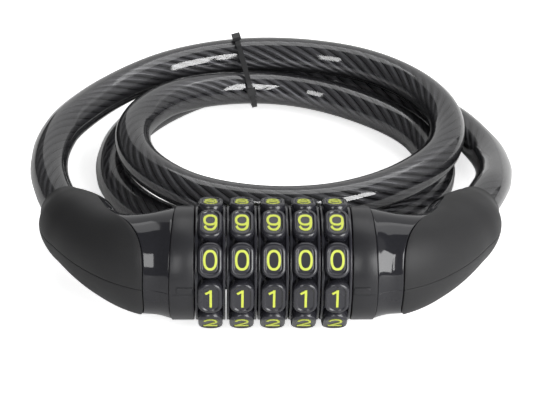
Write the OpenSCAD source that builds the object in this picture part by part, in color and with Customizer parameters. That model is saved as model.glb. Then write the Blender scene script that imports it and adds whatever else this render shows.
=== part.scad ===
// Combination cable lock: five numbered dials on a slotted barrel, a toothed plug that slides out
// along the barrel, two curved end housings and a coiled steel cable.
// Units are millimetres. +X runs along the barrel to the plug end, +Y runs back into the coil and
// +Z is up. The lock rests on the pads of its dials, which touch Z = 0 below the barrel's axis.

/* [Cable] */
// Outside diameter of the sheathed cable
cable_d = 12; // [10:0.5:12]
// Outside diameter of the steel ferrule crimped on each cable end
ferrule_d = 13.4; // [12.6:0.1:14]
// Length of each ferrule
ferrule_len = 13; // [11:1:14]

/* [Dials] */
// Distance from one dial to the next along the barrel
dial_pitch = 9.2; // [8.8:0.1:9.6]
// Gap between two dials, and between a dial and an end ring
dial_gap = 0.3; // [0.2:0.05:0.5]
// Height of the barrel's axis over the near edges of two pads, on which a dial rests
pad_r = 19.8; // [19.2:0.1:20.6]
// Width of a number pad along the barrel
pad_w = 7.2; // [6.4:0.1:7.4]
// Length of a number pad around the dial, at its foot
pad_len = 11.4; // [10.6:0.1:11.8]
// Length of a number pad at its rim
pad_top_len = 10.3; // [9.8:0.1:10.6]
// Width of the hollow inside a pad's rim
dish_w = 5; // [4.6:0.1:5.6]
// Length of that hollow
dish_len = 8.7; // [8:0.1:9.2]
// Depth of that hollow
dish_depth = 0.35; // [0.2:0.05:0.6]
// Radius of the two thin rims of a dial
rim_r = 17; // [16.6:0.1:17.6]
// Width of each thin rim
rim_w = 0.9; // [0.6:0.1:1.1]
// Radius of the dial between its rims
drum_r = 16.2; // [15.8:0.1:16.5]
// Height that the numerals stand up from the floor of their hollows
numeral_relief = 0.15; // [0.1:0.05:0.3]
// Height of a numeral
numeral_h = 6; // [5.4:0.1:6.6]
// Width of a numeral
numeral_w = 4.1; // [3.4:0.1:4.4]
// Width of a numeral's stroke
stroke = 0.7; // [0.6:0.05:1]

/* [Code rings] */
// Outside radius of a code ring
code_r = 12.3; // [11.8:0.1:12.8]
// Length of a code ring along the barrel
code_len = 8.4; // [8:0.1:8.5]
// Height of the keys that turn a code ring with its dial
key_h = 1.1; // [0.8:0.1:1.3]
// Width of those keys
key_w = 2.4; // [2:0.1:3]
// Radius of the relief in which a plug tooth stands
relief_r = 9.9; // [9.7:0.1:10.4]
// Length of that relief along the barrel
relief_len = 4.4; // [4.2:0.1:4.6]

/* [Barrel and plug] */
// Outside radius of the barrel
barrel_r = 8; // [7.6:0.1:8.4]
// Radius of the plug's pin
pin_r = 4.5; // [4:0.1:5]
// Length of a plug tooth along the barrel
tooth_len = 3.5; // [3:0.1:3.6]
// Width of a plug tooth
tooth_w = 3; // [2.6:0.1:3.6]
// Radius over the plug's teeth
tooth_r = 9.4; // [9.2:0.1:9.5]
// Thickness of the detent spring's leaf
leaf_t = 0.5; // [0.4:0.05:0.6]
// Width of the detent spring's leaf
leaf_w = 4; // [3:0.1:4.6]

/* [End housings] */
// Length of an end ring on the barrel's axis
ring_len = 6.05; // [5.5:0.05:7]
// Lean of the ring's outer face, which makes the ring longer at the front
ring_lean = 4; // [1:1:6]
// Length of the glossy collar at its front
seam_front = 7.1; // [6:0.1:8]
// Length of the collar at the inner side of the bend
seam_back = 35.5; // [30:0.5:37]
// Depth of the collar below the ring and the cap
collar_recess = 0.35; // [0.2:0.05:0.6]
// Depth of the hollow around the collar's middle
collar_dent = 0.6; // [0.3:0.1:1]
// Straight stretch from the ring to the bend
lead_in = 4; // [3:0.5:5]
// Radius of the bend that turns the housing back to the cable
bend_r = 24; // [23:0.5:26]
// Angle of that bend
bend_angle = 60; // [56:1:62]
// Length of the straight stretch from the bend to the cable mouth
mouth_reach = 21.5; // [21:0.5:23]
// Wall of the housing around the cable mouth
mouth_wall = 1; // [0.8:0.1:1.4]
// Wall of the caps and collars
wall = 2; // [1.6:0.1:2.2]
// Width of the seams between caps, collars and rings
seam_gap = 0.15; // [0.1:0.05:0.3]

/* [End blocks] */
// Outside radius of the block on the barrel's axis
block_r = 9.6; // [9.2:0.1:10]
// Wall of the block around its ferrule
socket_wall = 1.1; // [1:0.1:1.3]
// Radius of the cross pins
cross_pin_r = 1.5; // [1.2:0.1:1.8]

/* [Tie] */
// Thickness of the tie around the strands
tie_t = 0.6; // [0.5:0.1:1.2]
// Width of the tie
tie_w = 1.8; // [1.4:0.1:3]
// Width of the tie's head and of its folded end
knob_w = 3; // [2.4:0.1:4]

/* [Hidden] */
$fn = 64;

dial_count = 5;
digit_count = 10;
digit_step = 360 / digit_count;
axis_z = pad_r;
// Turn about X from straight up to the line of numerals that is read
code_tilt = 54;
// Clearances of running and keyed fits
run_fit = 0.1;
key_fit = 0.12;
seat_fit = 0.05;
cable_fit = 0.6;
eps = 0.01;

wheel_w = dial_pitch - dial_gap;
// Flat rims of the pads and the floors of their hollows, as distances from the axis
pad_flat = (pad_r - pad_top_len / 2 * sin(digit_step / 2)) / cos(digit_step / 2);
pad_floor = pad_flat - dish_depth;
pad_foot = drum_r - 1;
pad_shoulder = 0.9;
pad_corner = 3.3;
// Extra width of a pad's plan, so that its sides come from the shouldered profile
plan_spare = 0.3;
dish_corner = 2.4;
corner_steps = 3;
ring_start = dial_count * dial_pitch / 2 + dial_gap / 2;
ring_end = ring_start + ring_len;
ring_front_end = ring_end + rim_r * tan(ring_lean);

// Barrel: a blind bore from the plug end, a slot for the teeth and a seat for the detent spring
barrel_bore = pin_r + run_fit;
slot_w = tooth_w + 0.4;
barrel_left = -(ring_end + 7.6);
clip_t = 1;
clip_r = barrel_r + 1.6;
clip_seat = ring_end - 0.8;
clip_groove = 0.6;
barrel_right = ring_end + 2;
pin_end = -(ring_start + 0.8);
bore_end = pin_end - 1.8;
slot_end = pin_end - 0.8;
leaf_seat_w = leaf_w + 0.4;
leaf_base_r = barrel_r - leaf_t - 0.55;
hump_r = 0.7;
hump_rise = 0.45;
detent_depth = 0.7;
detent_r = 1.4;

// Code ring: relief on the barrel's blind side, web with a gate on the plug side
code_bore = barrel_r + run_fit;
web_len = code_len - relief_len;
gate_w = tooth_w + 0.6;
tooth_back = (relief_len - tooth_len) / 2;

// End housings: stretch s of the bent centre line, measured from the end ring's outer face
bend_len = bend_r * bend_angle * PI / 180;
housing_len = lead_in + bend_len + mouth_reach;
collar_r = rim_r;
mouth_r = cable_d / 2 + cable_fit + mouth_wall;
throat = housing_len - 9;
// Angle around from the front at which the seam reaches the collar's full length
seam_wrap_angle = 117;
// Outer half width, inner half width and half height at equal steps along the housing, as shares
// of the way from the mouth's radius to the collar's
housing_shares = [
    [1, 1, 1], [0.82, 0.62, 0.955], [0.63, 0.45, 0.865], [0.475, 0.4, 0.715], [0.42, 0.4, 0.605],
    [0.46, 0.41, 0.53], [0.5, 0.35, 0.445], [0.37, 0.17, 0.25], [0, 0, 0]
];
// Turn between the edges of collar and cap at the seam
seam_shift = 0.8;
cap_rows = 20;
cap_cols = 14;
collar_rows = 40;
collar_cols = 6;

// Ferrule socket: distances run back down the straight stretch from the cable's end
cable_end_back = 14;
socket_r = ferrule_d / 2 + run_fit + socket_wall;
socket_len = ferrule_len + 1;
block_end = ring_end + 13.5;
knuckle_r = block_r - 1.2;
plug_seat_len = 9;
block_start = barrel_right + 0.6;

// Cable route between the two mouths, from the left one to the right one
loop_route = [
    [-68.3, 41, 19.8], [-70.9, 55, 19.9], [-70.2, 71, 19.9], [-65.5, 87, 19.6],
    [-53, 107.5, 19], [-35, 123.3, 19.7], [-12.5, 131, 20.7], [11.5, 132.8, 20.2],
    [34.5, 128, 18.9], [51.5, 113.5, 18.5], [60.5, 92, 18.5], [57.5, 68, 18.5],
    [43, 49, 18.5], [21.5, 37, 18.5], [-2.5, 35, 18.5], [-25.5, 43, 18.5], [-41.2, 61, 18.5],
    [-44.6, 84, 18], [-34.5, 106, 16.4], [-15, 120, 13.6], [8.5, 125, 10.6], [31, 119, 8.1],
    [50, 103, 6.9], [57.5, 80, 6.4], [52, 58.5, 6.3], [33.5, 41, 6.2], [9.5, 34, 6.2],
    [-16.5, 36.5, 6.2], [-38, 48, 6.2], [-50.3, 68, 6.2], [-50.3, 92, 6.3], [-40, 113, 6.9],
    [-20.5, 129.5, 8], [2.5, 136.5, 8], [26.5, 136, 6.9], [48.5, 126, 6.5], [65, 109, 6.8],
    [73.5, 88, 8.2], [75, 69.5, 11.8], [73, 54, 15.6], [69.2, 41.3, 18.6]
];
// The cable leaves each mouth from a point this far inside it
mouth_lead = 2.5;
cable_sides = 12;
// Centres of the three strands that the tie holds, as [Y, Z], and the tie's place and lean
tie_strands = [[131.6, 20.9], [123, 12.2], [134.6, 8]];
tie_x = -6.7;
tie_lean = 15;
tie_slack = 0.8;
// Head over the first strand and folded end on the second, as [angle around the strand, length, height]
tie_head = [88, 4, 1.1];
tie_end = [164, 2.6, 1.6];

// ---------- helpers ----------

// Solid through a list of closed rings that all have the same number of points
module loft(rings) {
    sides = len(rings[0]);
    last = len(rings) - 1;
    points = [for (ring = rings) for (p = ring) p];
    walls = [
        for (i = [0 : last - 1])
        for (k = [0 : sides - 1])
        let (a = i * sides + k, b = i * sides + (k + 1) % sides)
        each [[a, a + sides, b], [b, a + sides, b + sides]]
    ];
    start_face = [for (k = [0 : sides - 1]) k];
    end_face = [for (k = [sides - 1 : -1 : 0]) last * sides + k];
    polyhedron(points = points, faces = concat([start_face], walls, [end_face]));
}

// Children drawn about the barrel's axis at Z = 0
module on_axis() {
    translate([0, 0, axis_z]) children();
}

// Cylinder along X from x0 to x1
module bar_x(r, x0, x1) {
    translate([x0, 0, 0]) rotate([0, 90, 0]) cylinder(r = r, h = x1 - x0);
}

// Children that point up (+Z) turned to the line of numerals
module at_code_line(turn = 0) {
    rotate([code_tilt + turn, 0, 0]) children();
}

function dial_x(i) = (i - (dial_count - 1) / 2) * dial_pitch;
function smooth(t) = let (c = min(max(t, 0), 1)) c * c * (3 - 2 * c);
function unit(v) = v / norm(v);

// Point of a Catmull-Rom curve through p1 and p2
function curve_point(p0, p1, p2, p3, t) =
    ((2 * p1) + (p2 - p0) * t + (2 * p0 - 5 * p1 + 4 * p2 - p3) * t * t
    + (3 * p1 - p0 - 3 * p2 + p3) * t * t * t) / 2;

// ---------- dials ----------

// Rectangle with rounded corners, drawn as a polygon
function rounded_plan(w, l, r) = [
    for (corner = [[1, 1, 0], [-1, 1, 90], [-1, -1, 180], [1, -1, 270]])
    for (step = [0 : corner_steps])
    let (a = corner[2] + 90 * step / corner_steps)
    [corner[0] * (w / 2 - r) + r * cos(a), corner[1] * (l / 2 - r) + r * sin(a)]
];

// Length of a pad at the distance r from the axis; its ends lean in toward the rim
function pad_reach(r) = pad_len + (pad_top_len - pad_len) * (r - pad_foot) / (pad_flat - pad_foot);

// One flat oval pad with rounded shoulders, drawn pointing up
module pad_body() {
    turns = [for (step = [0 : corner_steps]) 90 * step / corner_steps];
    side = pad_w / 2 - pad_shoulder;
    top = pad_flat - pad_shoulder;
    intersection() {
        translate([0, 0, pad_foot]) linear_extrude(pad_flat - pad_foot)
            polygon(rounded_plan(pad_w + plan_spare, pad_len, pad_corner));
        translate([-pad_w, 0, 0]) rotate([90, 0, 90]) linear_extrude(2 * pad_w) polygon([
            [-pad_len / 2, pad_foot], [pad_len / 2, pad_foot],
            [pad_reach(pad_flat + 1) / 2, pad_flat + 1], [-pad_reach(pad_flat + 1) / 2, pad_flat + 1]
        ]);
        translate([0, pad_len, 0]) rotate([90, 0, 0]) linear_extrude(2 * pad_len) polygon(concat(
            [[-pad_w / 2, pad_foot - 1], [pad_w / 2, pad_foot - 1]],
            [for (a = turns) [side + pad_shoulder * cos(a), top + pad_shoulder * sin(a)]],
            [for (a = turns) [-side - pad_shoulder * sin(a), top + pad_shoulder * cos(a)]]));
    }
}

// Hollow inside a pad's rim, down to a flat floor
module pad_hollow() {
    translate([0, 0, pad_floor]) linear_extrude(pad_r) polygon(rounded_plan(dish_w, dish_len, dish_corner));
}

module key_slots(w, r) {
    for (k = [0 : digit_count - 1])
        at_code_line((k + 0.5) * digit_step)
            translate([-wheel_w, -w / 2, code_r - 1]) cube([2 * wheel_w, w, r - code_r + 1]);
}

module dial_wheel(i) {
    color([0.07, 0.07, 0.08]) on_axis() translate([dial_x(i), 0, 0]) difference() {
        union() {
            bar_x(drum_r, -wheel_w / 2, wheel_w / 2);
            bar_x(rim_r, -wheel_w / 2, -wheel_w / 2 + rim_w);
            bar_x(rim_r, wheel_w / 2 - rim_w, wheel_w / 2);
            for (k = [0 : digit_count - 1]) at_code_line(k * digit_step) pad_body();
        }
        for (k = [0 : digit_count - 1]) at_code_line(k * digit_step) pad_hollow();
        bar_x(code_r + seat_fit, -wheel_w, wheel_w);
        key_slots(key_w + key_fit, code_r + key_h + key_fit);
    }
}

// Metal ring inside a dial: its web stops the plug's tooth except at the gate
module code_ring(i) {
    color([0.72, 0.6, 0.35]) on_axis() translate([dial_x(i), 0, 0]) difference() {
        union() {
            bar_x(code_r, -code_len / 2, code_len / 2);
            intersection() {
                bar_x(code_r + key_h, -code_len / 2, code_len / 2);
                key_slots(key_w, code_r + 2 * key_h);
            }
        }
        bar_x(code_bore, -wheel_w, wheel_w);
        bar_x(relief_r, -wheel_w, -code_len / 2 + relief_len);
        at_code_line() translate([-wheel_w, -gate_w / 2, 0]) cube([2 * wheel_w, gate_w, relief_r]);
        for (k = [1 : digit_count - 1])
            at_code_line(k * digit_step)
                translate([0, 0, code_bore + detent_depth - detent_r]) bar_x(detent_r, 0, wheel_w);
    }
}

// ---------- numerals ----------

// Part of a ring between two angles, less than half a turn
module arc_stroke(r, a0, a1) {
    reach = 4 * r;
    intersection() {
        difference() {
            circle(r = r);
            circle(r = r - stroke);
        }
        polygon([
            [0, 0],
            reach * [cos(a0), sin(a0)],
            reach * [cos((2 * a0 + a1) / 3), sin((2 * a0 + a1) / 3)],
            reach * [cos((a0 + 2 * a1) / 3), sin((a0 + 2 * a1) / 3)],
            reach * [cos(a1), sin(a1)]
        ]);
    }
}

// Straight stroke between two points of a numeral
module line_stroke(a, b) {
    d = b - a;
    translate(a) rotate(atan2(d[1], d[0])) translate([0, -stroke / 2]) square([norm(d), stroke]);
}

// Tall oval with half axes a and b, and the stroke around its inside
function oval(a, b) = [
    for (step = [0 : 35])
    let (c = cos(10 * step), d = sin(10 * step))
    [a * sign(c) * pow(abs(c), 0.85), b * sign(d) * pow(abs(d), 0.85)]
];

module oval_stroke(a, b) {
    difference() {
        polygon(oval(a, b));
        polygon(oval(a - stroke, b - stroke));
    }
}

module digit_0() {
    oval_stroke(numeral_w / 2, numeral_h / 2);
}

module digit_1() {
    top = numeral_h / 2;
    right = 0.5;
    translate([right - stroke, -top]) square([stroke, numeral_h]);
    line_stroke([-1.4, top - 1.3], [right - stroke / 2, top - stroke / 2]);
}

module digit_2() {
    r = numeral_w / 2;
    top = numeral_h / 2;
    middle = r - stroke / 2;
    translate([0, top - r]) arc_stroke(r, -40, 170);
    line_stroke([middle * cos(30), top - r - middle * sin(30)], [-r + 0.4, stroke / 2 - top]);
    translate([-r, -top]) square([2 * r, stroke]);
}

module digit_3() {
    r_top = numeral_w / 2 - 0.2;
    r_low = numeral_w / 2;
    top = numeral_h / 2;
    translate([0, top - r_top]) arc_stroke(r_top, -100, 60);
    translate([0, top - r_top]) arc_stroke(r_top, 50, 160);
    translate([0, r_low - top]) arc_stroke(r_low, -60, 100);
    translate([0, r_low - top]) arc_stroke(r_low, -160, -50);
}

module digit_4() {
    top = numeral_h / 2;
    half = numeral_w / 2;
    bar_y = -top + numeral_h * 0.26;
    translate([half - 1.3, -top]) square([stroke, numeral_h]);
    translate([-half, bar_y]) square([numeral_w, stroke]);
    line_stroke([-half + 0.3, bar_y + stroke / 2], [half - 1.3 + stroke / 2, top - stroke / 2]);
}

module digit_5() {
    r = numeral_w / 2 + 0.05;
    top = numeral_h / 2;
    translate([-r + 0.4, top - stroke]) square([2 * r - 0.7, stroke]);
    translate([-r + 0.4, 0.2]) square([stroke, top - 0.2]);
    translate([0, r - top]) arc_stroke(r, -60, 120);
    translate([0, r - top]) arc_stroke(r, -155, -50);
}

// Round bowl, and the left and top of a 0 that ends in a hook
module digit_6() {
    r = numeral_w / 2;
    top = numeral_h / 2;
    hook = 38;
    reach = 2 * numeral_h;
    translate([0, r - top]) oval_stroke(r, r);
    intersection() {
        digit_0();
        polygon([[0, 0], reach * [cos(hook), sin(hook)], [0, reach], [-reach, reach], [-reach, r - top], [0, r - top]]);
    }
}

module digit_7() {
    top = numeral_h / 2;
    half = numeral_w / 2;
    translate([-half, top - stroke]) square([numeral_w, stroke]);
    line_stroke([-half + 0.9, -top], [half - stroke / 2, top - stroke / 2]);
}

module digit_8() {
    r_top = numeral_w / 2 - 0.25;
    r_low = numeral_w / 2;
    top = numeral_h / 2;
    for (loop = [[r_top, top - r_top], [r_low, r_low - top]])
        translate([0, loop[1]]) difference() {
            circle(r = loop[0]);
            circle(r = loop[0] - stroke);
        }
}

module digit_9() {
    rotate(180) digit_6();
}

module digit(value) {
    if (value == 0) digit_0();
    if (value == 1) digit_1();
    if (value == 2) digit_2();
    if (value == 3) digit_3();
    if (value == 4) digit_4();
    if (value == 5) digit_5();
    if (value == 6) digit_6();
    if (value == 7) digit_7();
    if (value == 8) digit_8();
    if (value == 9) digit_9();
}

// Ten raised numerals of one dial; a higher numeral lies further down the front
module numerals(i) {
    color([0.86, 0.92, 0.2]) on_axis() translate([dial_x(i), 0, 0])
        for (value = [0 : digit_count - 1])
            at_code_line(value * digit_step) translate([0, 0, pad_floor]) linear_extrude(numeral_relief)
                digit(value);
}

// ---------- barrel and plug ----------

module barrel() {
    color([0.75, 0.76, 0.78]) on_axis() difference() {
        bar_x(barrel_r, barrel_left, barrel_right);
        bar_x(barrel_bore, bore_end, barrel_right + 1);
        at_code_line() translate([slot_end, -slot_w / 2, 0]) cube([barrel_right + 1 - slot_end, slot_w, barrel_r + 1]);
        at_code_line(180) translate([-ring_start + 0.5, -leaf_seat_w / 2, leaf_base_r])
            cube([2 * ring_start - 1, leaf_seat_w, barrel_r]);
        difference() {
            bar_x(barrel_r + 1, clip_seat + seat_fit, clip_seat + clip_t + 2 * seat_fit);
            bar_x(barrel_r - clip_groove, clip_seat - 1, barrel_right);
        }
        translate([barrel_left + 3.5, 0, -barrel_r - 1]) cylinder(r = cross_pin_r + seat_fit, h = 2 * barrel_r + 2);
    }
}

// Open spring ring that keeps the right end ring on the barrel
module barrel_clip() {
    color([0.55, 0.56, 0.58]) on_axis() difference() {
        bar_x(clip_r, clip_seat + 1.5 * seat_fit, clip_seat + clip_t + 1.5 * seat_fit);
        bar_x(barrel_r - clip_groove + seat_fit, clip_seat - 1, barrel_right);
        at_code_line() translate([clip_seat - 1, -slot_w / 2 - 0.5, 0]) cube([clip_t + 3, slot_w + 1, relief_r + 2]);
    }
}

// Leaf spring whose humps press into the code rings and give each dial its ten stops
module detent_spring() {
    leaf_half = ring_start - 1;
    color([0.6, 0.62, 0.66]) on_axis() at_code_line(180) {
        translate([-leaf_half, -leaf_w / 2, leaf_base_r + 0.1]) cube([2 * leaf_half, leaf_w, leaf_t]);
        for (i = [0 : dial_count - 1])
            translate([dial_x(i) - code_len / 2 + relief_len + web_len / 2, 0, barrel_r + hump_rise - hump_r])
                sphere(r = hump_r);
    }
}

module plug() {
    color([0.78, 0.79, 0.8]) on_axis() difference() {
        union() {
            bar_x(pin_r, pin_end, block_start + plug_seat_len);
            for (i = [0 : dial_count - 1])
                at_code_line() translate([dial_x(i) - code_len / 2 + tooth_back, -tooth_w / 2, 0])
                    cube([tooth_len, tooth_w, tooth_r]);
        }
        translate([block_start + plug_seat_len - 4, 0, -block_r])
            cylinder(r = cross_pin_r + seat_fit, h = 2 * block_r);
    }
}

// ---------- end housings, drawn for the +X end ----------

module left_end() {
    on_axis() mirror([1, 0, 0]) children();
}

module right_end() {
    on_axis() children();
}

function bend_turn(s) = min(max(s - lead_in, 0), bend_len) / bend_r * 180 / PI;
function bend_centre(s) =
    let (a = bend_turn(s), run = max(s - lead_in - bend_len, 0))
    [ring_end + min(s, lead_in) + bend_r * sin(a) + run * cos(a), bend_r * (1 - cos(a)) + run * sin(a)];

// Turn of a cross section: it starts along the ring's leaning face and then follows the bend
function section_turn(s) = max(ring_lean, bend_turn(s));

function share_row(k) = housing_shares[min(max(k, 0), len(housing_shares) - 1)];

// Outer half width, inner half width and half height at the share t of the housing's length
function half_sizes(t) =
    let (steps = len(housing_shares) - 1, q = min(t, 1) * steps, k = min(floor(q), steps - 1))
    mouth_r * [1, 1, 1] + (collar_r - mouth_r)
        * curve_point(share_row(k - 1), share_row(k), share_row(k + 1), share_row(k + 2), q - k);

// Distance along the housing of the seam between collar and cap, by the angle around from the front
function seam_at(u) = seam_front + (seam_back - seam_front) * pow(min(abs(u) / seam_wrap_angle, 1), 4);

// Point of the housing at distance s and angle u, sunk by depth below the outer form
function housing_point(s, u, depth) =
    let (
        a = section_turn(s),
        c = bend_centre(s),
        half = half_sizes(s / housing_len),
        side = ((cos(u) > 0 ? half[0] : half[1]) - depth) * cos(u)
    )
    [c[0] + side * sin(a), c[1] - side * cos(a), (half[2] - depth) * sin(u)];

// Wall of a cap: thinner at the mouth, where it closes on the cable
function cap_wall(s) = wall + (mouth_wall - wall) * smooth((s - throat) / (housing_len - throat));

function collar_depth(t) = collar_recess + collar_dent * sin(180 * t);

// Walls between two grids of points. Each grid has one row per angle and runs from seam to seam.
module shell(outer, inner, closed) {
    rows = len(outer);
    cols = len(outer[0]);
    spans = closed ? rows : rows - 1;
    size = rows * cols;
    points = concat([for (row = outer) each row], [for (row = inner) each row]);
    grid = [
        for (j = [0 : spans - 1])
        for (i = [0 : cols - 2])
        let (a = j * cols + i, b = ((j + 1) % rows) * cols + i)
        each [[a, a + 1, b], [b, a + 1, b + 1],
            [size + a, size + b, size + a + 1], [size + b, size + b + 1, size + a + 1]]
    ];
    rims = [
        for (j = [0 : spans - 1])
        let (a = j * cols, b = ((j + 1) % rows) * cols, c = a + cols - 1, d = b + cols - 1)
        each [[a, b, size + a], [b, size + b, size + a], [c, size + c, d], [d, size + c, size + d]]
    ];
    last = (rows - 1) * cols;
    edges = closed ? [] : [
        for (i = [0 : cols - 2])
        let (a = i, b = last + i)
        each [[a, size + a, a + 1], [a + 1, size + a, size + a + 1],
            [b, b + 1, size + b], [b + 1, size + b + 1, size + b]]
    ];
    polyhedron(points = points, faces = concat(grid, rims, edges));
}

// The cap keeps its distance from the seam where the seam sweeps back, so it starts a little later
function cap_from(u) = max(seam_at(u), seam_at(abs(u) + seam_shift)) + seam_gap;

// Cap shell above (side = 1) or below (side = -1) the parting plane
module cap_shell(side) {
    first = side > 0 ? 0 : -180;
    angles = [for (j = [0 : cap_rows]) first + j * 180 / cap_rows];
    steps = [for (i = [0 : cap_cols]) i / cap_cols];
    outer = [for (u = angles) [for (t = steps)
        let (s = cap_from(u) + (housing_len - cap_from(u)) * t)
        housing_point(s, u, 0) + [0, 0, side * seam_gap / 2]]];
    inner = [for (u = angles) [for (t = steps)
        let (s = cap_from(u) + (housing_len - cap_from(u)) * t)
        housing_point(s, u, cap_wall(s)) + [0, 0, side * seam_gap / 2]]];
    shell(outer, inner, false);
}

module collar_shell() {
    angles = [for (j = [0 : collar_rows - 1]) -180 + j * 360 / collar_rows];
    steps = [for (i = [0 : collar_cols]) i / collar_cols];
    outer = [for (u = angles) [for (t = steps)
        housing_point(seam_gap + (seam_at(u) - seam_gap) * t, u, collar_depth(t))]];
    inner = [for (u = angles) [for (t = steps)
        housing_point(seam_gap + (seam_at(u) - seam_gap) * t, u, wall + collar_recess + collar_dent)]];
    shell(outer, inner, true);
}

// Ring next to the dials, with a low index tab on its front
module end_ring_body() {
    tab_len = ring_len - 1.2;
    tab_h = 0.25;
    difference() {
        union() {
            bar_x(rim_r, ring_start, ring_front_end);
            intersection() {
                bar_x(rim_r + tab_h, ring_start + 0.3, ring_start + 0.3 + tab_len);
                translate([0, -2 * rim_r, 0.3]) cube([2 * ring_end, 2 * rim_r, 2.2]);
            }
        }
        bar_x(barrel_r + seat_fit, ring_start - 1, ring_front_end + 1);
        bar_x(clip_r + run_fit, clip_seat, ring_front_end + 1);
        translate([ring_end, 0, 0]) rotate([0, 0, ring_lean]) translate([0, -2 * rim_r, -2 * rim_r])
            cube([rim_r, 4 * rim_r, 4 * rim_r]);
    }
}

module left_ring() {
    color([0.13, 0.13, 0.14]) left_end() end_ring_body();
}

// The plug's teeth leave the barrel through a notch in this ring
module right_ring() {
    color([0.13, 0.13, 0.14]) right_end() difference() {
        end_ring_body();
        at_code_line() translate([ring_start - 1, -gate_w / 2, 0]) cube([ring_len + 2, gate_w, relief_r]);
    }
}

module left_collar() {
    color([0.05, 0.05, 0.06]) left_end() collar_shell();
}

module right_collar() {
    color([0.05, 0.05, 0.06]) right_end() collar_shell();
}

module left_cap_upper() {
    color([0.17, 0.17, 0.18]) left_end() cap_shell(1);
}

module left_cap_lower() {
    color([0.17, 0.17, 0.18]) left_end() cap_shell(-1);
}

module right_cap_upper() {
    color([0.17, 0.17, 0.18]) right_end() cap_shell(1);
}

module right_cap_lower() {
    color([0.17, 0.17, 0.18]) right_end() cap_shell(-1);
}

// ---------- end blocks, ferrules and pins, drawn for the +X end ----------

// Children drawn along +Z, placed at the cable's end and pointing back into the housing
module at_cable_end() {
    c = bend_centre(housing_len - cable_end_back);
    translate([c[0], c[1], 0]) rotate([0, 0, bend_angle]) rotate([0, -90, 0]) children();
}

// Block body from x0, with the ferrule's socket
module end_block_body(x0) {
    difference() {
        union() {
            bar_x(block_r, x0, block_end);
            translate([block_end + 1.8, 0.8, 0]) sphere(r = knuckle_r);
            at_cable_end() translate([0, 0, 1]) cylinder(r = socket_r, h = socket_len);
        }
        at_cable_end() translate([0, 0, -1]) cylinder(r = ferrule_d / 2 + run_fit, h = ferrule_len + 1.3);
        ferrule_cross() cylinder(r = cross_pin_r + seat_fit, h = 2 * socket_r + 2);
    }
}

// Vertical line across the ferrule, from below
module ferrule_cross() {
    at_cable_end() translate([0, 0, ferrule_len - 4.5]) rotate([0, -90, 0])
        translate([0, 0, -socket_r - 1]) children();
}

module left_end_block() {
    color([0.62, 0.63, 0.65]) left_end() difference() {
        end_block_body(ring_end + block_r * tan(ring_lean) + 0.3);
        bar_x(barrel_r + seat_fit, ring_end, -barrel_left + 0.3);
        translate([-barrel_left - 3.5, 0, -block_r - 1]) cylinder(r = cross_pin_r + seat_fit, h = 2 * block_r + 2);
    }
}

module right_end_block() {
    color([0.62, 0.63, 0.65]) right_end() difference() {
        end_block_body(block_start);
        bar_x(pin_r + seat_fit, block_start - 1, block_start + plug_seat_len + 0.2);
        translate([block_start + plug_seat_len - 4, 0, -block_r - 1])
            cylinder(r = cross_pin_r + seat_fit, h = 2 * block_r + 2);
    }
}

// Crimped sleeve with two pressed grooves
module ferrule() {
    at_cable_end() difference() {
        cylinder(d = ferrule_d, h = ferrule_len);
        for (z = [2.5, 5])
            translate([0, 0, z]) difference() {
                cylinder(d = ferrule_d + 2, h = 1.2);
                cylinder(d = ferrule_d - 0.8, h = 1.2);
            }
        translate([0, 0, ferrule_len - 4.5]) rotate([0, -90, 0])
            translate([0, 0, -socket_r]) cylinder(r = cross_pin_r + seat_fit, h = 2 * socket_r);
    }
}

module left_ferrule() {
    color([0.7, 0.71, 0.72]) left_end() ferrule();
}

module right_ferrule() {
    color([0.7, 0.71, 0.72]) right_end() ferrule();
}

module ferrule_pin() {
    ferrule_cross() translate([0, 0, 1]) cylinder(r = cross_pin_r, h = 2 * socket_r);
}

module left_ferrule_pin() {
    color([0.5, 0.5, 0.52]) left_end() ferrule_pin();
}

module right_ferrule_pin() {
    color([0.5, 0.5, 0.52]) right_end() ferrule_pin();
}

module left_barrel_pin() {
    color([0.5, 0.5, 0.52]) left_end()
        translate([-barrel_left - 3.5, 0, -block_r]) cylinder(r = cross_pin_r, h = 2 * block_r);
}

module plug_pin_rivet() {
    color([0.5, 0.5, 0.52]) right_end()
        translate([block_start + plug_seat_len - 4, 0, -block_r]) cylinder(r = cross_pin_r, h = 2 * block_r);
}

// ---------- cable and tie ----------

// Point of a housing's centre line, back from its mouth; side is -1 on the left and 1 on the right
function mouth_line(side, back) = let (c = bend_centre(housing_len - back)) [side * c[0], c[1], axis_z];

cable_back = cable_end_back - seam_gap;
route = concat(
    [mouth_line(-1, cable_back), mouth_line(-1, mouth_lead)],
    loop_route,
    [mouth_line(1, mouth_lead), mouth_line(1, cable_back)]);

function route_at(k) =
    k < 0 ? 2 * route[0] - route[1]
    : k >= len(route) ? 2 * route[len(route) - 1] - route[len(route) - 2]
    : route[k];

// Route with one more point halfway along the curve between each two
function fine_route() = [
    for (k = [0 : len(route) - 2])
        for (t = [0, 0.5])
            curve_point(route_at(k - 1), route_at(k), route_at(k + 1), route_at(k + 2), t),
    route[len(route) - 1]
];

module cable() {
    centre = fine_route();
    last = len(centre) - 1;
    rings = [for (k = [0 : last])
        let (
            ahead = unit(centre[min(k + 1, last)] - centre[max(k - 1, 0)]),
            side = unit(cross(ahead, [0, 0, 1])),
            up = cross(side, ahead)
        )
        [for (j = [0 : cable_sides - 1])
            let (u = (j + 0.5) * 360 / cable_sides)
            centre[k] + cable_d / 2 * (cos(u) * side + sin(u) * up)]];
    color([0.16, 0.16, 0.18]) loft(rings);
}

// Plan across the three strands that the tie holds
module strand_bundle(grow) {
    hull() for (c = tie_strands) translate(c) circle(r = cable_d / 2 + grow, $fn = 32);
}

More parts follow.
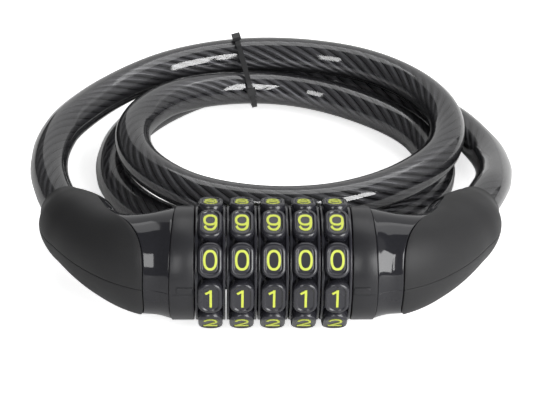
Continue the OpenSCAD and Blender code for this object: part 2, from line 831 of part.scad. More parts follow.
// Low block on the tie, outside a strand
module tie_knob(strand, form) {
    translate([0, strand[0], strand[1]]) rotate([form[0], 0, 0])
        translate([-knob_w / 2, cable_d / 2 + tie_slack + 0.2, -form[1] / 2]) cube([knob_w, form[2], form[1]]);
}

module cable_tie() {
    centre = (tie_strands[0] + tie_strands[1] + tie_strands[2]) / 3;
    middle = [0, centre[0], centre[1]];
    color([0.04, 0.04, 0.05])
        translate([tie_x, 0, 0] + middle) rotate(a = tie_lean, v = [0, -0.85, 0.53]) translate(-middle) {
            translate([-tie_w / 2, 0, 0]) rotate([90, 0, 90]) linear_extrude(tie_w) difference() {
                strand_bundle(tie_slack + tie_t);
                strand_bundle(tie_slack);
            }
            tie_knob(tie_strands[0], tie_head);
            tie_knob(tie_strands[1], tie_end);
        }
}

left_cap_upper();
left_cap_lower();
left_collar();
left_ring();
right_cap_upper();
right_cap_lower();
right_collar();
right_ring();
barrel();
barrel_clip();
detent_spring();
left_end_block();
left_ferrule();
left_ferrule_pin();
left_barrel_pin();
right_end_block();
right_ferrule();
right_ferrule_pin();
plug_pin_rivet();
plug();
dial_wheel(0);  // dial_wheel_1
dial_wheel(1);  // dial_wheel_2
dial_wheel(2);  // dial_wheel_3
dial_wheel(3);  // dial_wheel_4
dial_wheel(4);  // dial_wheel_5
code_ring(0);  // code_ring_1
code_ring(1);  // code_ring_2
code_ring(2);  // code_ring_3
code_ring(3);  // code_ring_4
code_ring(4);  // code_ring_5
numerals(0);  // numerals_1
numerals(1);  // numerals_2
numerals(2);  // numerals_3
numerals(3);  // numerals_4
numerals(4);  // numerals_5
cable();
cable_tie();
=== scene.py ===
import math

import bmesh
import bpy
from mathutils import Matrix, Vector


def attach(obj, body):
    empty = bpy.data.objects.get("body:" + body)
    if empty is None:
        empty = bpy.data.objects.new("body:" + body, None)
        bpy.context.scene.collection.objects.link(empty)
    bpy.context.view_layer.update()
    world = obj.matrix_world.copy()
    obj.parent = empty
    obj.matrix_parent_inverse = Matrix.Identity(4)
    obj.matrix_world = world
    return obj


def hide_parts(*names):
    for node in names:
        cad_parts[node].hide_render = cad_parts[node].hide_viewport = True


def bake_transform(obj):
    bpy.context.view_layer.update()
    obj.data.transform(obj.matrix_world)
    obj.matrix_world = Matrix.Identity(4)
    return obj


MM = 0.001

# ---- sizes, as in the part's source, in metres ----
CABLE_D = 12 * MM
DIAL_COUNT = 5
DIGIT_COUNT = 10
DIAL_PITCH = 9.2 * MM
DIAL_GAP = 0.3 * MM
WHEEL_W = DIAL_PITCH - DIAL_GAP
AXIS_Z = 19.8 * MM
PAD_W = 7.2 * MM
PAD_LEN = 11.4 * MM
PAD_TOP_LEN = 10.3 * MM
PAD_FLAT = 19.146 * MM
PAD_CORNER = 3.3 * MM
PAD_SHOULDER = 0.85 * MM
DISH_DEPTH = 0.35 * MM
# Each ring of the hollow's edge: how far in, in millimetres, and its share of the depth
DISH_RINGS = ((0.04, 0), (0.08, 0.08), (0.14, 0.42), (0.14, 0.38), (0.12, 0.12), (0.4, 0))
RIM_R = 17 * MM
RIM_W = 0.9 * MM
DRUM_R = 16.2 * MM
WHEEL_BORE = 12.4 * MM
WHEEL_STEPS = 90
RING_STEPS = 120
CODE_TILT = 54
RING_START = DIAL_COUNT * DIAL_PITCH / 2 + DIAL_GAP / 2
RING_LEN = 6.05 * MM
RING_END = RING_START + RING_LEN
RING_LEAN = math.radians(4)
RING_BORE = 8.1 * MM
CLIP_SEAT = RING_END - 0.8 * MM
CLIP_BORE = 9.7 * MM
LEAD_IN = 4 * MM
BEND_R = 24 * MM
BEND_ANGLE = math.radians(60)
MOUTH_REACH = 21.5 * MM
BEND_LEN = BEND_R * BEND_ANGLE
HOUSING_LEN = LEAD_IN + BEND_LEN + MOUTH_REACH
MOUTH_R = 7.6 * MM
# Outer half width, inner half width and half height at equal steps along the housing, as shares
# of the way from the mouth's radius to the collar's
HOUSING_SHARES = (
    (1, 1, 1), (0.82, 0.62, 0.955), (0.63, 0.45, 0.865), (0.475, 0.4, 0.715), (0.42, 0.4, 0.605),
    (0.46, 0.41, 0.53), (0.5, 0.35, 0.445), (0.37, 0.17, 0.25), (0, 0, 0),
)  # fmt: skip
SEAM_GAP = 0.15 * MM
SEAM_FRONT = 7.1 * MM
SEAM_BACK = 35.5 * MM
SEAM_WRAP_ANGLE = 117
SEAM_SHIFT = 0.8
SEAM_RISE = 4  # the seam stays straight in front and then runs back ever faster
COLLAR_RECESS = 0.35 * MM
COLLAR_DENT = 0.6 * MM
SHELL_WALL = 1 * MM
ROWS_TO_MOUTH = 1.35  # over 1, the cap's rows of faces crowd towards the cable
CAP_EASE = 0.22 * MM
COLLAR_EASE = 0.3 * MM
TAB_LEN = RING_LEN - 1.2 * MM
TAB_DEPTH = 2 * MM
TAB_HEIGHT = 2.2 * MM
TAB_PLACE = (RING_START + 0.3 * MM + TAB_LEN / 2, -RIM_R + 0.78 * MM, AXIS_Z + 1.4 * MM)
PARTING_LINE_R = 0.1 * MM

# Cable's centre line from the left ferrule to the right one, in millimetres
ROUTE_MM = (
    (-57.81, 18.63, 19.8), (-63.48, 28.45, 19.8), (-68.3, 41, 19.8), (-70.9, 55, 19.9),
    (-70.2, 71, 19.9), (-65.5, 87, 19.6), (-53, 107.5, 19), (-35, 123.3, 19.7), (-12.5, 131, 20.7),
    (11.5, 132.8, 20.2), (34.5, 128, 18.9), (51.5, 113.5, 18.5), (60.5, 92, 18.5),
    (57.5, 68, 18.5), (43, 49, 18.5), (21.5, 37, 18.5), (-2.5, 35, 18.5), (-25.5, 43, 18.5),
    (-41.2, 61, 18.5), (-44.6, 84, 18), (-34.5, 106, 16.4), (-15, 120, 13.6), (8.5, 125, 10.6),
    (31, 119, 8.1), (50, 103, 6.9), (57.5, 80, 6.4), (52, 58.5, 6.3), (33.5, 41, 6.2),
    (9.5, 34, 6.2), (-16.5, 36.5, 6.2), (-38, 48, 6.2), (-50.3, 68, 6.2), (-50.3, 92, 6.3),
    (-40, 113, 6.9), (-20.5, 129.5, 8), (2.5, 136.5, 8), (26.5, 136, 6.9), (48.5, 126, 6.5),
    (65, 109, 6.8), (73.5, 88, 8.2), (75, 69.5, 11.8), (73, 54, 15.6), (69.2, 41.3, 18.6),
    (63.48, 28.45, 19.8), (57.81, 18.63, 19.8),
)  # fmt: skip

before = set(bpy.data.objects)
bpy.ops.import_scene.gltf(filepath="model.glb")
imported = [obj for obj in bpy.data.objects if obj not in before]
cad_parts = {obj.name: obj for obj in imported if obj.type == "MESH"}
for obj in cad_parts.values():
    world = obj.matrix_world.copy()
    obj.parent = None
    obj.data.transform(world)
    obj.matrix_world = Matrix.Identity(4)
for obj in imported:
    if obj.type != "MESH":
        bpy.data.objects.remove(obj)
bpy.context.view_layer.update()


# ---- camera ----

CAMERA_PLACE = (-0.01396, -0.4648, 0.3324)
CAMERA_LENS = 125
LOOKING_DOWN = 32
TURNED_RIGHT = 1.6
ROLLED_LEFT = 0.9


def add_camera():
    data = bpy.data.cameras.new("camera")
    data.lens = CAMERA_LENS
    data.sensor_width = 36
    data.clip_start = 0.05
    camera = bpy.data.objects.new("camera", data)
    bpy.context.scene.collection.objects.link(camera)
    camera.location = CAMERA_PLACE
    camera.rotation_euler = (
        Matrix.Rotation(math.radians(-TURNED_RIGHT), 3, "Z")
        @ Matrix.Rotation(math.radians(90 - LOOKING_DOWN), 3, "X")
        @ Matrix.Rotation(math.radians(ROLLED_LEFT), 3, "Z")
    ).to_euler()
    bpy.context.scene.camera = camera


add_camera()


# ---- making pieces ----


def piece(name, mesh_or_bm, material=None, smooth=True):
    """Object at the origin from a bmesh or mesh."""
    if isinstance(mesh_or_bm, bmesh.types.BMesh):
        mesh = bpy.data.meshes.new(name)
        mesh_or_bm.to_mesh(mesh)
        mesh_or_bm.free()
    else:
        mesh = mesh_or_bm
        mesh.name = name
    if smooth:
        mesh.shade_smooth()
    obj = bpy.data.objects.new(name, mesh)
    bpy.context.scene.collection.objects.link(obj)
    if material:
        mesh.materials.clear()
        mesh.materials.append(material)
    return obj


def soften_edges(obj, width, segments=2, angle=35):
    bevel = obj.modifiers.new("bevel", "BEVEL")
    bevel.width = width
    bevel.segments = segments
    bevel.limit_method = "ANGLE"
    bevel.angle_limit = math.radians(angle)
    bevel.harden_normals = False


def curve_point(p0, p1, p2, p3, t):
    """Point of a Catmull-Rom curve between p1 and p2."""
    return (
        2 * p1
        + (p2 - p0) * t
        + (2 * p0 - 5 * p1 + 4 * p2 - p3) * t * t
        + (3 * p1 - p0 - 3 * p2 + p3) * t * t * t
    ) / 2


# ---- cable ----


def cable_line(per_span):
    """Points of the Catmull-Rom curve through the route."""
    route = [Vector(p) * MM for p in ROUTE_MM]
    ends = [2 * route[0] - route[1], *route, 2 * route[-1] - route[-2]]
    points = []
    for p0, p1, p2, p3 in zip(ends, ends[1:], ends[2:], ends[3:]):
        points.extend(curve_point(p0, p1, p2, p3, step / per_span) for step in range(per_span))
    points.append(route[-1])
    return points


def even_line(points, step):
    """The same line with points a steady step apart."""
    out = [points[0].copy()]
    need = step
    for a, b in zip(points, points[1:]):
        span = (b - a).length
        done = 0.0
        while span - done >= need:
            done += need
            out.append(a.lerp(b, done / span))
            need = step
        need -= span - done
    if (out[-1] - points[-1]).length > step / 2:
        out.append(points[-1].copy())
    else:
        out[-1] = points[-1].copy()
    return out


def line_frames(points):
    """Tangent, side and up of each point; the line never runs straight up."""
    frames = []
    for k in range(len(points)):
        ahead = (points[min(k + 1, len(points) - 1)] - points[max(k - 1, 0)]).normalized()
        side = ahead.cross(Vector((0, 0, 1))).normalized()
        frames.append((ahead, side, side.cross(ahead)))
    return frames


def tube_mesh(name, lines, radius, resolution, caps=True):
    """One mesh of round tubes that follow the lines."""
    data = bpy.data.curves.new(name, "CURVE")
    data.dimensions = "3D"
    data.bevel_depth = radius
    data.bevel_resolution = resolution
    data.use_fill_caps = caps
    for line in lines:
        spline = data.splines.new("POLY")
        spline.points.add(len(line) - 1)
        for point, place in zip(spline.points, line):
            point.co = (*place, 1)
    holder = bpy.data.objects.new(name + "_line", data)
    bpy.context.scene.collection.objects.link(holder)
    bpy.context.view_layer.update()
    mesh = bpy.data.meshes.new_from_object(holder.evaluated_get(bpy.context.evaluated_depsgraph_get()))
    bpy.data.objects.remove(holder)
    return mesh


STRANDS = 10
STRAND_R = 1.03 * MM
STRAND_RING_R = 4.42 * MM
STRAND_LAY = 55 * MM
CORE_R = 3.9 * MM
PATH_STEP = 3 * MM

cable_path = even_line(cable_line(16), PATH_STEP)
cable_frames = line_frames(cable_path)


def strand_lines():
    lines = []
    for n in range(STRANDS):
        line = []
        run = 0.0
        for k, (point, (_, side, up)) in enumerate(zip(cable_path, cable_frames)):
            if k:
                run += (point - cable_path[k - 1]).length
            a = 2 * math.pi * (n / STRANDS - run / STRAND_LAY)
            line.append(point + STRAND_RING_R * (math.cos(a) * side + math.sin(a) * up))
        lines.append(line)
    return lines


# ---- housings ----


def bend_place(s):
    """Turn of the cross section and centre of the housing at distance s."""
    turn = min(max(s - LEAD_IN, 0), BEND_LEN) / BEND_R
    run = max(s - LEAD_IN - BEND_LEN, 0)
    centre = (
        RING_END + min(s, LEAD_IN) + BEND_R * math.sin(turn) + run * math.cos(turn),
        BEND_R * (1 - math.cos(turn)) + run * math.sin(turn),
    )
    return max(turn, RING_LEAN), centre


def half_sizes(t):
    """Outer half width, inner half width and half height at the share t of the housing."""
    steps = len(HOUSING_SHARES) - 1
    place = min(max(t, 0), 1) * steps
    k = min(int(place), steps - 1)
    rows = [Vector(HOUSING_SHARES[min(max(i, 0), steps)]) for i in range(k - 1, k + 3)]
    return Vector((1, 1, 1)) * MOUTH_R + (RIM_R - MOUTH_R) * curve_point(*rows, place - k)


def housing_point(s, u, depth=0.0):
    """Point of the right housing at distance s and angle u round it from the front."""
    turn, centre = bend_place(s)
    outer, inner, high = half_sizes(s / HOUSING_LEN)
    c = math.cos(math.radians(u))
    side = ((outer if c > 0 else inner) - depth) * c
    return Vector(
        (
            centre[0] + side * math.sin(turn),
            centre[1] - side * math.cos(turn),
            AXIS_Z + (high - depth) * math.sin(math.radians(u)),
        )
    )


def seam_at(u):
    """Distance along the housing of the seam between collar and cap."""
    return SEAM_FRONT + (SEAM_BACK - SEAM_FRONT) * min(abs(u) / SEAM_WRAP_ANGLE, 1) ** SEAM_RISE


def wrapped_sheet(place, around, along, closed=False):
    """Grid warped by place(x, y), both from 0 to 1, with its outside facing out."""
    bm = bmesh.new()
    bmesh.ops.create_grid(bm, x_segments=around, y_segments=along, size=0.5)
    for vert in bm.verts:
        vert.co = place(vert.co.x + 0.5, vert.co.y + 0.5)
    if closed:
        bmesh.ops.remove_doubles(bm, verts=bm.verts, dist=1e-6)
    bmesh.ops.recalc_face_normals(bm, faces=bm.faces)
    face = min(bm.faces, key=lambda f: f.calc_center_median().y)
    if face.normal.y > 0:
        bmesh.ops.reverse_faces(bm, faces=bm.faces)
    return bm


def mirrored(bm):
    """The left-hand copy of a right-hand piece."""
    bmesh.ops.scale(bm, vec=(-1, 1, 1), verts=bm.verts)
    bmesh.ops.reverse_faces(bm, faces=bm.faces)
    return bm


def thicken(obj, wall):
    solid = obj.modifiers.new("wall", "SOLIDIFY")
    solid.thickness = wall
    solid.offset = -1
    solid.use_even_offset = False
    return obj


def add_cap(side_name, part, material):
    up = 1 if part == "upper" else -1

    def place(x, y):
        u = up * 180 * x
        seam = seam_at(abs(u) + SEAM_SHIFT) + SEAM_GAP
        s = seam + (HOUSING_LEN - seam) * (1 - (1 - y) ** ROWS_TO_MOUTH)
        return housing_point(s, u) + Vector((0, 0, up * SEAM_GAP / 2))

    bm = wrapped_sheet(place, 60, 36)
    if side_name == "left":
        mirrored(bm)
    cap = piece(f"{side_name}_cap_{part}_shell", bm, material)
    thicken(cap, SHELL_WALL)
    soften_edges(cap, CAP_EASE, 2, 50)
    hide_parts(f"{side_name}_cap_{part}")
    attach(cap, "lock_body" if side_name == "left" else "plug")
    return cap


def collar_point(share, u):
    """Point of the dented collar at a share of its length and angle u round it from the front."""
    s = SEAM_GAP + (seam_at(u) - SEAM_GAP) * share
    return housing_point(s, u, COLLAR_RECESS + COLLAR_DENT * math.sin(math.pi * share))


def add_collar(side_name, material):
    bm = wrapped_sheet(lambda x, y: collar_point(y, -180 + 360 * x), 120, 18, closed=True)
    if side_name == "left":
        mirrored(bm)
    collar = piece(f"{side_name}_collar_shell", bm, material)
    thicken(collar, SHELL_WALL)
    soften_edges(collar, COLLAR_EASE, 3, 50)
    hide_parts(f"{side_name}_collar")
    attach(collar, "lock_body" if side_name == "left" else "plug")
    return collar


# ---- dials and end rings ----


def lathe(profile, steps):
    """Closed ring spun about the barrel's axis from a closed profile of (x, radius)."""
    bm = bmesh.new()
    verts = [bm.verts.new((x, 0, AXIS_Z + r)) for x, r in profile]
    edges = [bm.edges.new((a, b)) for a, b in zip(verts, verts[1:] + verts[:1])]
    bmesh.ops.spin(
        bm,
        geom=verts + edges,
        cent=(0, 0, AXIS_Z),
        axis=(1, 0, 0),
        angle=2 * math.pi,
        steps=steps,
        use_merge=True,
    )
    bmesh.ops.remove_doubles(bm, verts=bm.verts, dist=1e-6)
    bmesh.ops.recalc_face_normals(bm, faces=bm.faces)
    return bm


def pad_block():
    """One flat oval pad with a dished face: X along the barrel, Y around the dial, Z its radius."""
    bm = bmesh.new()
    bmesh.ops.create_grid(bm, x_segments=1, y_segments=1, size=0.5)
    bmesh.ops.scale(bm, vec=(PAD_W, PAD_LEN, 1), verts=bm.verts)
    bmesh.ops.bevel(
        bm, geom=bm.verts[:], offset=PAD_CORNER, offset_type="OFFSET", segments=8, profile=0.5,
        affect="VERTICES", material=-1,
    )  # fmt: skip
    foot = DRUM_R - 1 * MM
    bmesh.ops.translate(bm, vec=(0, 0, foot), verts=bm.verts)
    grown = bmesh.ops.extrude_face_region(bm, geom=bm.faces[:])
    top = [g for g in grown["geom"] if isinstance(g, bmesh.types.BMVert)]
    bmesh.ops.translate(bm, vec=(0, 0, PAD_FLAT - foot), verts=top)
    bmesh.ops.scale(bm, vec=(1, PAD_TOP_LEN / PAD_LEN, 1), verts=top)
    rim = [e for e in bm.edges if all(v.co.z > PAD_FLAT - 0.01 * MM for v in e.verts)]
    bmesh.ops.bevel(
        bm, geom=rim, offset=PAD_SHOULDER, offset_type="OFFSET", segments=6, profile=0.5,
        affect="EDGES", material=-1,
    )  # fmt: skip
    crown = [f for f in bm.faces if f.calc_center_median().z > PAD_FLAT - 0.01 * MM]
    for inset, share in DISH_RINGS:
        bmesh.ops.inset_region(
            bm, faces=crown, thickness=inset * MM, depth=-share * DISH_DEPTH,
            use_even_offset=True, use_boundary=True,
        )  # fmt: skip
    bmesh.ops.recalc_face_normals(bm, faces=bm.faces)
    return bm


def wheel_profile():
    half = WHEEL_W / 2
    ease = 0.2 * MM
    outer = [
        (-half, RIM_R - ease), (-half + ease * 0.3, RIM_R - ease * 0.3), (-half + ease, RIM_R),
        (-half + RIM_W - ease, RIM_R), (-half + RIM_W - ease * 0.3, RIM_R - ease * 0.3),
        (-half + RIM_W, RIM_R - ease), (-half + RIM_W + ease, DRUM_R),
    ]  # fmt: skip
    return [(-half, WHEEL_BORE), *outer, *[(-x, r) for x, r in reversed(outer)], (half, WHEEL_BORE)]


def add_dial(number, material):
    x = (number - (DIAL_COUNT + 1) / 2) * DIAL_PITCH
    bm = lathe(wheel_profile(), WHEEL_STEPS)
    flat = bpy.data.meshes.new("pad")
    block = pad_block()
    block.to_mesh(flat)
    block.free()
    for k in range(DIGIT_COUNT):
        a = math.radians(CODE_TILT + 360 / DIGIT_COUNT * k)
        sin_a, cos_a = math.sin(a), math.cos(a)
        start = len(bm.verts)
        bm.from_mesh(flat)
        bm.verts.ensure_lookup_table()
        for vert in bm.verts[start:]:
            local_x, y, r = vert.co
            vert.co = (local_x, -r * sin_a - y * cos_a, AXIS_Z + r * cos_a - y * sin_a)
    bpy.data.meshes.remove(flat)
    bmesh.ops.translate(bm, vec=(x, 0, 0), verts=bm.verts)
    wheel = piece(f"dial_body_{number}", bm, material)
    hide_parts(f"dial_wheel_{number}")
    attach(wheel, f"dial_{number}")
    return wheel


def add_parting_line(side_name, part, line, material):
    """Thin raised line where two halves of a mould met."""
    if side_name == "left":
        line = [Vector((-x, y, z)) for x, y, z in line]
    mesh = tube_mesh("line", [line], PARTING_LINE_R, 1)
    ridge = piece(f"{side_name}_{part}_parting_line", mesh, material)
    on_plug = side_name == "right" and part == "collar"
    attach(ridge, "plug" if on_plug else "lock_body")


def add_end_ring(side_name, material):
    """Ring with eased rims, a leaning outer face, a seat for the clip and an index tab."""
    ease = 0.25 * MM
    start, end = RING_START, RING_END
    profile = [
        (start, RING_BORE), (start, RIM_R - ease), (start + ease * 0.3, RIM_R - ease * 0.3),
        (start + ease, RIM_R), (end - ease, RIM_R), (end - ease * 0.3, RIM_R - ease * 0.3),
        (end, RIM_R - ease), (end, CLIP_BORE), (CLIP_SEAT, CLIP_BORE), (CLIP_SEAT, RING_BORE),
    ]  # fmt: skip
    bm = lathe(profile, RING_STEPS)
    for vert in bm.verts:
        if vert.co.x > end - 1.5 * ease:
            vert.co.x -= vert.co.y * math.tan(RING_LEAN)
    tab = bmesh.new()
    bmesh.ops.create_cube(tab, size=1)
    bmesh.ops.scale(tab, vec=(TAB_LEN, TAB_DEPTH, TAB_HEIGHT), verts=tab.verts)
    bmesh.ops.translate(tab, vec=TAB_PLACE, verts=tab.verts)
    bmesh.ops.bevel(
        tab, geom=tab.edges[:], offset=0.2 * MM, offset_type="OFFSET", segments=2, profile=0.5,
        affect="EDGES", material=-1,
    )  # fmt: skip
    joined = bpy.data.meshes.new("tab")
    tab.to_mesh(joined)
    tab.free()
    bm.from_mesh(joined)
    bpy.data.meshes.remove(joined)
    if side_name == "left":
        mirrored(bm)
    ring = piece(f"{side_name}_end_ring", bm, material)
    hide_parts(f"{side_name}_ring")
    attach(ring, "lock_body")
    return ring


# ---- finishes ----


def node(tree, kind, **values):
    made = tree.nodes.new(kind)
    for key, value in values.items():
        if hasattr(made, key):
            setattr(made, key, value)
        else:
            made.inputs[key.replace("_", " ")].default_value = value
    return made


def new_group(name, inputs, outputs):
    group = bpy.data.node_groups.new(name, "ShaderNodeTree")
    for label, kind, value in inputs:
        socket = group.interface.new_socket(label, in_out="INPUT", socket_type=kind)
        if value is not None:
            socket.default_value = value
    for label, kind in outputs:
        group.interface.new_socket(label, in_out="OUTPUT", socket_type=kind)
    return group, group.nodes.new("NodeGroupInput"), group.nodes.new("NodeGroupOutput")


def moulded_grain_group():
    """Fine moulded texture: a bump, and a roughness and a shade that wander over the surface."""
    group, given, out = new_group(
        "moulded_grain",
        [
            ("Grain Scale", "NodeSocketFloat", 3000.0),
            ("Depth", "NodeSocketFloat", 0.1),
            ("Smoothest", "NodeSocketFloat", 0.3),
            ("Roughest", "NodeSocketFloat", 0.5),
            ("Dark", "NodeSocketColor", (0.02, 0.02, 0.02, 1)),
            ("Light", "NodeSocketColor", (0.05, 0.05, 0.05, 1)),
        ],
        [("Color", "NodeSocketColor"), ("Roughness", "NodeSocketFloat"), ("Normal", "NodeSocketVector")],
    )
    link = group.links.new
    where = node(group, "ShaderNodeTexCoord")
    grain = node(group, "ShaderNodeTexNoise", Detail=3.0, Roughness=0.6)
    link(where.outputs["Object"], grain.inputs["Vector"])
    link(given.outputs["Grain Scale"], grain.inputs["Scale"])
    broad = node(group, "ShaderNodeTexNoise", Scale=90.0, Detail=4.0)
    link(where.outputs["Object"], broad.inputs["Vector"])
    rough = node(group, "ShaderNodeMapRange")
    link(broad.outputs["Fac"], rough.inputs["Value"])
    rough.inputs["From Min"].default_value = 0.3
    rough.inputs["From Max"].default_value = 0.7
    link(given.outputs["Smoothest"], rough.inputs["To Min"])
    link(given.outputs["Roughest"], rough.inputs["To Max"])
    shade = node(group, "ShaderNodeMix", data_type="RGBA")
    link(grain.outputs["Fac"], shade.inputs[0])
    link(given.outputs["Dark"], shade.inputs[6])
    link(given.outputs["Light"], shade.inputs[7])
    bump = node(group, "ShaderNodeBump", Distance=0.0002)
    link(grain.outputs["Fac"], bump.inputs["Height"])
    link(given.outputs["Depth"], bump.inputs["Strength"])
    link(shade.outputs[2], out.inputs["Color"])
    link(rough.outputs["Result"], out.inputs["Roughness"])
    link(bump.outputs["Normal"], out.inputs["Normal"])
    return group


GRAIN = moulded_grain_group()


def grained(name, dark, light, smoothest, roughest, grain_scale, depth, metallic=0.0, **fixed):
    """Principled material fed by the moulded grain."""
    material = bpy.data.materials.new(name)
    material.use_nodes = True
    tree = material.node_tree
    shader = tree.nodes["Principled BSDF"]
    grain = tree.nodes.new("ShaderNodeGroup")
    grain.node_tree = GRAIN
    for label, value in (
        ("Grain Scale", grain_scale),
        ("Depth", depth),
        ("Smoothest", smoothest),
        ("Roughest", roughest),
        ("Dark", (*dark, 1)),
        ("Light", (*light, 1)),
    ):
        grain.inputs[label].default_value = value
    tree.links.new(grain.outputs["Color"], shader.inputs["Base Color"])
    tree.links.new(grain.outputs["Roughness"], shader.inputs["Roughness"])
    tree.links.new(grain.outputs["Normal"], shader.inputs["Normal"])
    shader.inputs["Metallic"].default_value = metallic
    for label, value in fixed.items():
        shader.inputs[label.replace("_", " ")].default_value = value
    return material


cap_plastic = grained(
    "cap_plastic", (0.015, 0.015, 0.0155), (0.027, 0.027, 0.028), 0.45, 0.55, 3500, 0.12,
    Specular_IOR_Level=0.2,
)  # fmt: skip
collar_gloss = grained(
    "collar_gloss", (0.012, 0.012, 0.014), (0.017, 0.017, 0.02), 0.06, 0.1, 900, 0.01, Specular_IOR_Level=0.35
)
ring_plastic = grained(
    "ring_plastic", (0.014, 0.014, 0.015), (0.022, 0.022, 0.025), 0.3, 0.4, 3000, 0.06, Specular_IOR_Level=0.3
)
dial_plastic = grained("dial_plastic", (0.014, 0.014, 0.018), (0.022, 0.022, 0.027), 0.2, 0.28, 2600, 0.05)
numeral_paint = grained("numeral_paint", (0.45, 0.51, 0.05), (0.54, 0.6, 0.08), 0.4, 0.5, 2000, 0.05)
tie_plastic = grained("tie_plastic", (0.008, 0.008, 0.009), (0.015, 0.015, 0.016), 0.35, 0.5, 2000, 0.05)
cast_zinc = grained("cast_zinc", (0.45, 0.46, 0.48), (0.62, 0.63, 0.65), 0.35, 0.5, 1500, 0.15, metallic=1.0)
turned_brass = grained(
    "turned_brass", (0.6, 0.42, 0.16), (0.75, 0.56, 0.25), 0.25, 0.38, 1200, 0.08, metallic=1.0
)
bright_steel = grained(
    "bright_steel", (0.42, 0.43, 0.45), (0.55, 0.56, 0.58), 0.2, 0.32, 1200, 0.06, metallic=1.0
)
strand_steel = grained(
    "strand_steel", (0.16, 0.16, 0.17), (0.6, 0.6, 0.64), 0.36, 0.5, 2600, 0.5, metallic=0.8
)


CLEAREST, DENSEST = 0.62, 0.98


def smoky_sheath():
    """Smoky clear vinyl: thin enough to show the strands, with a hard gloss."""
    material = bpy.data.materials.new("smoky_sheath")
    material.use_nodes = True
    shader = material.node_tree.nodes["Principled BSDF"]
    shader.inputs["Base Color"].default_value = (0.012, 0.012, 0.013, 1)
    shader.inputs["Roughness"].default_value = 0.07
    shader.inputs["IOR"].default_value = 1.55
    shader.inputs["Specular IOR Level"].default_value = 0.9
    tree = material.node_tree
    rim = node(tree, "ShaderNodeLayerWeight", Blend=0.5)
    thick = node(tree, "ShaderNodeMapRange")
    tree.links.new(rim.outputs["Facing"], thick.inputs["Value"])
    thick.inputs["From Min"].default_value = 0.25
    thick.inputs["From Max"].default_value = 0.75
    thick.inputs["To Min"].default_value = CLEAREST
    thick.inputs["To Max"].default_value = DENSEST
    tree.links.new(thick.outputs["Result"], shader.inputs["Alpha"])
    return material


# ---- the cable ----

sheath_tube = tube_mesh("cable_sheath", [cable_path], CABLE_D / 2, 6)
strand_tubes = tube_mesh("cable_strands", strand_lines(), STRAND_R, 1)
core_tube = tube_mesh("cable_core", [cable_path], CORE_R, 3)
sheath = piece("cable_sheath", sheath_tube, smoky_sheath())
strands = piece("cable_strands", strand_tubes, strand_steel)
core = piece("cable_core", core_tube, tie_plastic)
for cord_piece in (sheath, strands, core):
    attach(cord_piece, "lock_body")
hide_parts("cable")


# ---- lock ----

COLLAR_LINE_STEPS = (0.03, 0.15, 0.3, 0.45, 0.6, 0.75, 0.88, 0.97)
collar_line = [collar_point(step, 0) for step in COLLAR_LINE_STEPS]
ring_line = [Vector((x, -RIM_R, AXIS_Z)) for x in (RING_START + 0.3 * MM, RING_END + 0.8 * MM)]
for side_name in ("left", "right"):
    add_cap(side_name, "upper", cap_plastic)
    add_cap(side_name, "lower", cap_plastic)
    add_collar(side_name, collar_gloss)
    add_end_ring(side_name, ring_plastic)
    add_parting_line(side_name, "collar", collar_line, collar_gloss)
    add_parting_line(side_name, "ring", ring_line, ring_plastic)
for number in range(1, DIAL_COUNT + 1):
    add_dial(number, dial_plastic)

CARRIED = {
    "barrel": cast_zinc, "barrel_clip": bright_steel, "detent_spring": bright_steel,
    "left_end_block": cast_zinc, "left_ferrule": cast_zinc, "left_ferrule_pin": bright_steel,
    "left_barrel_pin": bright_steel, "right_end_block": cast_zinc, "right_ferrule": cast_zinc,
    "right_ferrule_pin": bright_steel, "plug_pin_rivet": bright_steel, "plug": cast_zinc,
    "cable_tie": tie_plastic,
}  # fmt: skip
for number in range(1, DIAL_COUNT + 1):
    CARRIED[f"numerals_{number}"] = numeral_paint
    CARRIED[f"code_ring_{number}"] = turned_brass
for name, material in CARRIED.items():
    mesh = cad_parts[name].data
    mesh.materials.clear()
    mesh.materials.append(material)

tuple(cable_path[0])
for cord_piece in (sheath, strands, core):
    cord_piece.parent = None
    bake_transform(cord_piece)

# ---- floor, light ----

MIDDLE = Vector((0, 0.05, 0.015))
FLOOR_HALF = 3
FLOOR_GLOW = 0.7
STUDIO_FILL = 0.12


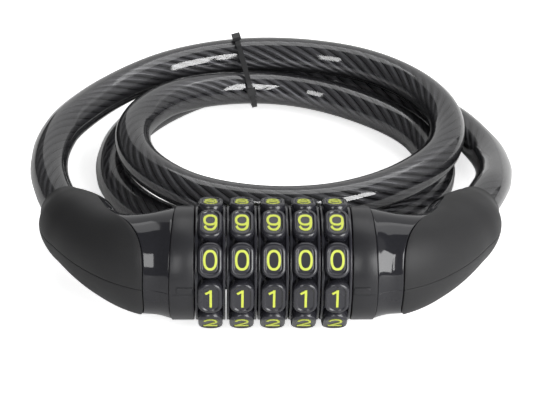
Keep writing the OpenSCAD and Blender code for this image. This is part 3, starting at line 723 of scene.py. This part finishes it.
def add_floor():
    bm = bmesh.new()
    bmesh.ops.create_grid(bm, x_segments=1, y_segments=1, size=FLOOR_HALF)
    material = bpy.data.materials.new("white_floor")
    material.use_nodes = True
    tree = material.node_tree
    shader = tree.nodes["Principled BSDF"]
    shader.inputs["Base Color"].default_value = (0.9, 0.9, 0.9, 1)
    shader.inputs["Roughness"].default_value = 0.6
    shader.inputs["Emission Color"].default_value = (1, 1, 1, 1)
    path = tree.nodes.new("ShaderNodeLightPath")
    seen = tree.nodes.new("ShaderNodeMath")
    seen.operation = "MAXIMUM"
    tree.links.new(path.outputs["Is Camera Ray"], seen.inputs[0])
    tree.links.new(path.outputs["Is Transmission Ray"], seen.inputs[1])
    gain = tree.nodes.new("ShaderNodeMath")
    gain.operation = "MULTIPLY"
    gain.inputs[1].default_value = FLOOR_GLOW
    tree.links.new(seen.outputs[0], gain.inputs[0])
    tree.links.new(gain.outputs[0], shader.inputs["Emission Strength"])
    floor = piece("floor", bm, material)


def add_world():
    world = bpy.data.worlds.new("studio")
    world.use_nodes = True
    bpy.context.scene.world = world
    tree = world.node_tree
    back = tree.nodes["Background"]
    back.inputs["Color"].default_value = (1, 1, 1, 1)
    path = tree.nodes.new("ShaderNodeLightPath")
    gain = tree.nodes.new("ShaderNodeMapRange")
    gain.inputs["To Min"].default_value = STUDIO_FILL
    gain.inputs["To Max"].default_value = 1.0
    tree.links.new(path.outputs["Is Camera Ray"], gain.inputs["Value"])
    tree.links.new(gain.outputs["Result"], back.inputs["Strength"])


def softbox(name, azimuth, elevation, distance, size, radiance):
    """Area lamp that faces the lock; azimuth 0 is behind it and 90 is on its right."""
    a, e = math.radians(azimuth), math.radians(elevation)
    data = bpy.data.lights.new(name, "AREA")
    data.shape = "RECTANGLE"
    data.size, data.size_y = size
    data.energy = radiance * math.pi * size[0] * size[1]
    light = bpy.data.objects.new(name, data)
    bpy.context.scene.collection.objects.link(light)
    away = Vector((math.sin(a) * math.cos(e), math.cos(a) * math.cos(e), math.sin(e)))
    light.location = MIDDLE + distance * away
    light.rotation_euler = away.to_track_quat("Z", "Y").to_euler()
    return light


add_floor()
add_world()
softbox("window_right", 137, 24, 1.2, (0.58, 0.8), 11.0)
softbox("window_right_strip", 155.5, 26, 1.2, (0.07, 0.7), 12.0)
softbox("window_left", -164, 30, 1.2, (0.26, 0.6), 8.0)
softbox("ceiling", 15, 66, 1.2, (1.1, 0.7), 2.2)
softbox("wall_back", 14, 28, 1.6, (2.33, 1.8), 0.7)
softbox("wall_right", 80, 28, 1.6, (1.85, 1.8), 0.45)

bpy.context.scene.view_settings.view_transform = "Standard"
